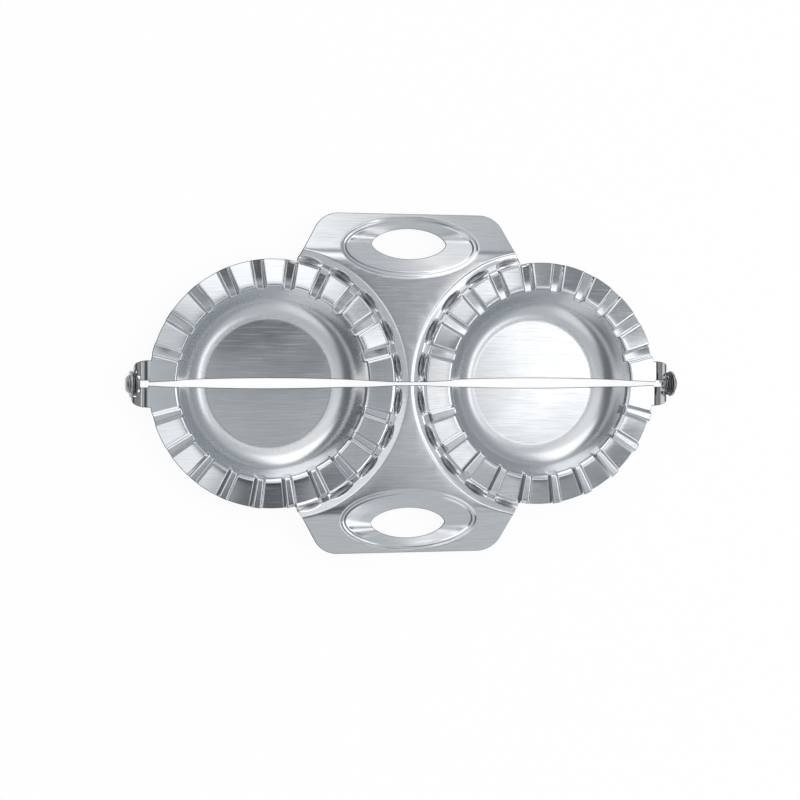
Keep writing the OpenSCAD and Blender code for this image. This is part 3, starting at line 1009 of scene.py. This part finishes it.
class PRESS_OT_leaves(bpy.types.Operator):
    """Make both stamped leaves with their bowls, pleats, web, tab and ears"""

    bl_idname = "press.leaves"
    bl_label = "Leaves"

    def execute(self, context):
        sizes = context.scene.press_sizes
        metal = finishes()
        for body, wide_high in (("back", True), ("front", False)):
            sheet = leaf_sheet(wide_high, EAR_FACE_X[body], sizes)
            points, faces, cut_from = sheet.solid(SHEET_T, sizes.edge_break / MM)
            if body == "front":
                points = points * [1, -1, 1]
                faces = [f[::-1] for f in faces]
            obj = mesh_object(f"{body}_leaf_sheet", points, faces,
                              [metal["leaf_steel"], metal["cut_edge"]], cut_from)
            fit_piece(obj, f"{body}_leaf", body)
        return {"FINISHED"}


class PRESS_OT_rivets(bpy.types.Operator):
    """Make the two hinge rivets with domed heads and clinched hollow tails"""

    bl_idname = "press.rivets"
    bl_label = "Rivets"

    def execute(self, context):
        # All points are (radius, distance from the middle).
        bore = [(0, 105.7), (0.45, 105.55), (0.78, 105.2)]
        tail = rounded([(0.8, 105.1), (0.8, 104.1), (2.1, 104.1), (2.1, 104.9), (1.5, 104.9),
                        (1.5, 105.3)], [0.12, 0.4, 0.08, 0.05], [3, 6, 2, 2])
        head = rounded([(1.5, 107.6), (1.5, 107.9), (3.3, 107.9), (3.3, 108.5), (2.4, 109.4),
                        (0.0, 109.4)], [0.05, 0.12, 0.45, 1.1], [2, 3, 5, 7])
        turned_pair("rivet", [*bore, *tail, *head], finishes()["rivet_steel"])
        return {"FINISHED"}


class PRESS_OT_washers(bpy.types.Operator):
    """Make the outer and inner washers of both rivets"""

    bl_idname = "press.washers"
    bl_label = "Washers"

    def execute(self, context):
        metal = finishes()["washer_steel"]
        hole, bevel = WASHER_HOLE_R, WASHER_HOLE_R + 0.1
        for kind, (x, r, t) in (("outer", OUTER_WASHER), ("inner", INNER_WASHER)):
            profile = rounded([(bevel, x), (r, x), (r, x + t), (bevel, x + t), (hole, x + t / 2)],
                              [0.3 * t, 0.3 * t, 0.08 * t], [5, 5, 3])
            turned_pair(f"{kind}_washer", profile, metal)
        return {"FINISHED"}


class PRESS_OT_stage(bpy.types.Operator):
    """Set up the floor, the soft lamps, the surroundings and the camera"""

    bl_idname = "press.stage"
    bl_label = "Stage"

    def execute(self, context):
        look = context.scene.stage_look
        make_floor(look)
        make_lamps(look)
        make_world()
        make_camera()
        context.scene.view_settings.view_transform = "Standard"
        return {"FINISHED"}


def make_floor(look):
    """A wide pale floor that shows white to the camera and in the steel, and keeps the shadow."""
    size = 6.0
    below_press = 0.0002
    glow_share = 0.92
    mesh = bpy.data.meshes.new("studio_floor")
    corners = [(-size, -size, 0), (size, -size, 0), (size, size, 0), (-size, size, 0)]
    mesh.from_pydata(corners, [], [(0, 1, 2, 3)])
    floor = linked("studio_floor", mesh)
    mat = bpy.data.materials.new("studio_floor")
    w = rewired(mat)
    plain = w.fill(w.node("ShaderNodeBsdfDiffuse"), Color=(*look.floor_colour, 1))
    glow = w.fill(w.node("ShaderNodeEmission"), Color=WHITE)
    path = w.node("ShaderNodeLightPath")
    seen = w.math("MAXIMUM", path.outputs["Is Camera Ray"], path.outputs["Is Glossy Ray"])
    mix = w.mixed_shader(w.math("MULTIPLY", seen, glow_share), plain, glow)
    w.fill(w.node("ShaderNodeOutputMaterial"), Surface=mix.outputs[0])
    mesh.materials.append(mat)
    floor.location.z = -below_press


def make_lamps(look):
    """Soft boxes that face the press. Each is (name, place, width, height, share of power)."""
    lamps = (
        ("soft_right", (0.85, 0.05, 1.0), 0.8, 1.1, 1.6),
        ("soft_left", (-0.9, 0.5, 0.8), 0.5, 0.7, 0.8),
        ("soft_front", (0.1, -1.1, 0.7), 1.0, 0.4, 0.8),
        ("table_fill", (0.2, 0.1, 1.5), 1.5, 1.5, 6.0),
    )
    for name, place, width, height, share in lamps:
        lamp = bpy.data.lights.new(name, "AREA")
        lamp.shape = "RECTANGLE"
        lamp.size, lamp.size_y = width, height
        lamp.energy = look.lamp_power * share
        obj = linked(name, lamp)
        obj.location = place
        obj.visible_glossy = False
        obj.rotation_euler = (-Vector(place)).to_track_quat("-Z", "Y").to_euler()


# A panel is (least and greatest tilt to the right, least and greatest tilt to the back,
# softness, brightness), as seen from the press. Tilts are degrees from straight up.
# Each panel covers the ones before it, and the rest has the plain level.
PLAIN_LEVEL = 0.6
PANELS = (
    (-89, -38, -89, 89, 6, 0.18),
    (46, 89, -89, 89, 4, 0.42),
    (-45, 22, 34, 80, 5, 1.6),
    (-45, 5, -80, -38, 5, 0.95),
    (22.5, 40, -23, 12, 1.5, 1.85),
    (-30, 1, 1, 30, 1.5, 0.95),
    (-2, 15, 11, 30, 1.5, 0.95),
    (9.5, 12.8, 15.8, 24, 0.8, 1.35),
    (9.5, 19.5, 11.4, 15.6, 0.8, 0.3),
    (-1, 16.8, 5.4, 11, 0.7, 1.4),
    (9, 13.4, 2.8, 6, 0.4, 1.1),
    (16.9, 28.5, 4, 10.5, 0.5, 0.26),
    (23.2, 28.5, 1.5, 6, 0.5, 0.3),
    (7.8, 12.2, -1.2, 2.5, 0.5, 0.1),
    (12.4, 16.2, -0.8, 4.6, 0.5, 0.28),
    (16.3, 22.5, -3.7, 3.6, 0.5, 1.5),
    (-1, 5.6, -9.5, -3.5, 0.7, 1.2),
    (6.8, 13.9, -13.5, -8, 0.5, 0.12),
    (6.8, 13.9, -8.2, -4.4, 0.5, 0.01),
    (17.3, 28.5, -13.5, -8, 0.6, 0.33),
    (22.8, 28.5, -13.5, -4, 0.6, 0.28),
    (14.2, 17, -12, -7.2, 0.5, 0.85),
    (16.8, 22, -8.4, -4.7, 0.4, 0.03),
)


def make_world():
    """Soft panels for the steel to mirror, with a dark horizon, and white for the camera."""
    world = bpy.context.scene.world = bpy.data.worlds.new("studio")
    w = rewired(world)
    coord = w.node("ShaderNodeTexCoord")
    way = w.fill(w.node("ShaderNodeSeparateXYZ"), Vector=coord.outputs["Generated"])
    up = w.math("MAXIMUM", way.outputs["Z"], 0.01)
    to_right, to_back = (w.math("DIVIDE", way.outputs[axis], up) for axis in ("X", "Y"))

    def edges(tilt, low, high, soft):
        ends = [math.tan(math.radians(max(-89, min(89, a))))
                for a in (low - soft, low + soft, high - soft, high + soft)]
        return w.math("MULTIPLY", w.between(tilt, *ends[:2]), w.between(tilt, *ends[2:], 1.0, 0.0))

    level = PLAIN_LEVEL
    for left, right, front, back, soft, bright in PANELS:
        mask = w.math("MULTIPLY", edges(to_right, left, right, soft),
                      edges(to_back, front, back, soft))
        change = w.math("MULTIPLY", w.math("SUBTRACT", bright, level), mask)
        level = w.math("ADD", level, change)
    level = w.math("MULTIPLY", level, w.between(way.outputs["Z"], 0.08, 0.25, 0.15, 1.0))
    tint = w.mixed_colour(w.between(level, 0.2, 1.0), (0.86, 0.93, 1.0, 1), WHITE)
    light = w.fill(w.node("ShaderNodeBackground"), Color=tint, Strength=level)
    beyond = w.fill(w.node("ShaderNodeBackground"), Color=WHITE, Strength=1.0)
    path = w.node("ShaderNodeLightPath")
    mix = w.mixed_shader(path.outputs["Is Camera Ray"], light, beyond)
    w.fill(w.node("ShaderNodeOutputWorld"), Surface=mix.outputs[0])


def make_camera():
    """The photograph's view: high above and a little to the left."""
    lean_x, lean_y, roll = 0.25226, -0.03172, -0.00472
    aim = Vector((-4.10, -6.24, HINGE_Z)) * MM
    distance = 723.2 * MM
    focal_pixels, picture_pixels = 1874.3, 800
    back = Vector((-math.sin(lean_x), -math.sin(lean_y), 1)).normalized()
    up = Vector((math.sin(roll), math.cos(roll), 0))
    right = (-back).cross(up).normalized()
    true_up = back.cross(right)
    camera = bpy.data.cameras.new("camera")
    camera.sensor_fit = "HORIZONTAL"
    camera.sensor_width = 36
    camera.lens = focal_pixels * camera.sensor_width / picture_pixels
    camera.clip_start = 0.01
    obj = linked("camera", camera)
    turn = Matrix((right, true_up, back)).transposed()
    obj.matrix_world = Matrix.Translation(aim + back * distance) @ turn.to_4x4()
    bpy.context.scene.camera = obj


class PRESS_PT_panel(bpy.types.Panel):
    """Lists the settings and the steps that draw the press"""

    bl_label = "Double press"
    bl_idname = "PRESS_PT_panel"
    bl_space_type = "VIEW_3D"
    bl_region_type = "UI"
    bl_category = "Press"

    def draw(self, context):
        for name, kind in SETTINGS:
            box = self.layout.box()
            for key in kind.__annotations__:
                box.prop(getattr(context.scene, name), key)
        for step in STEPS:
            self.layout.operator(step.bl_idname)


STEPS = (PRESS_OT_leaves, PRESS_OT_rivets, PRESS_OT_washers, PRESS_OT_stage)
SETTINGS = (("press_sizes", PressSizes), ("press_finish", PressFinish), ("stage_look", StageLook))
CLASSES = (*[kind for _, kind in SETTINGS], *STEPS, PRESS_PT_panel)


def register():
    for kind in CLASSES:
        bpy.utils.register_class(kind)
    for name, kind in SETTINGS:
        setattr(bpy.types.Scene, name, bpy.props.PointerProperty(type=kind))


def unregister():
    for name, _ in SETTINGS:
        delattr(bpy.types.Scene, name)
    for kind in reversed(CLASSES):
        bpy.utils.unregister_class(kind)


def main():
    register()
    bpy.ops.press.leaves()
    bpy.ops.press.rivets()
    bpy.ops.press.washers()
    bpy.ops.press.stage()


if __name__ == "__main__":
    main()
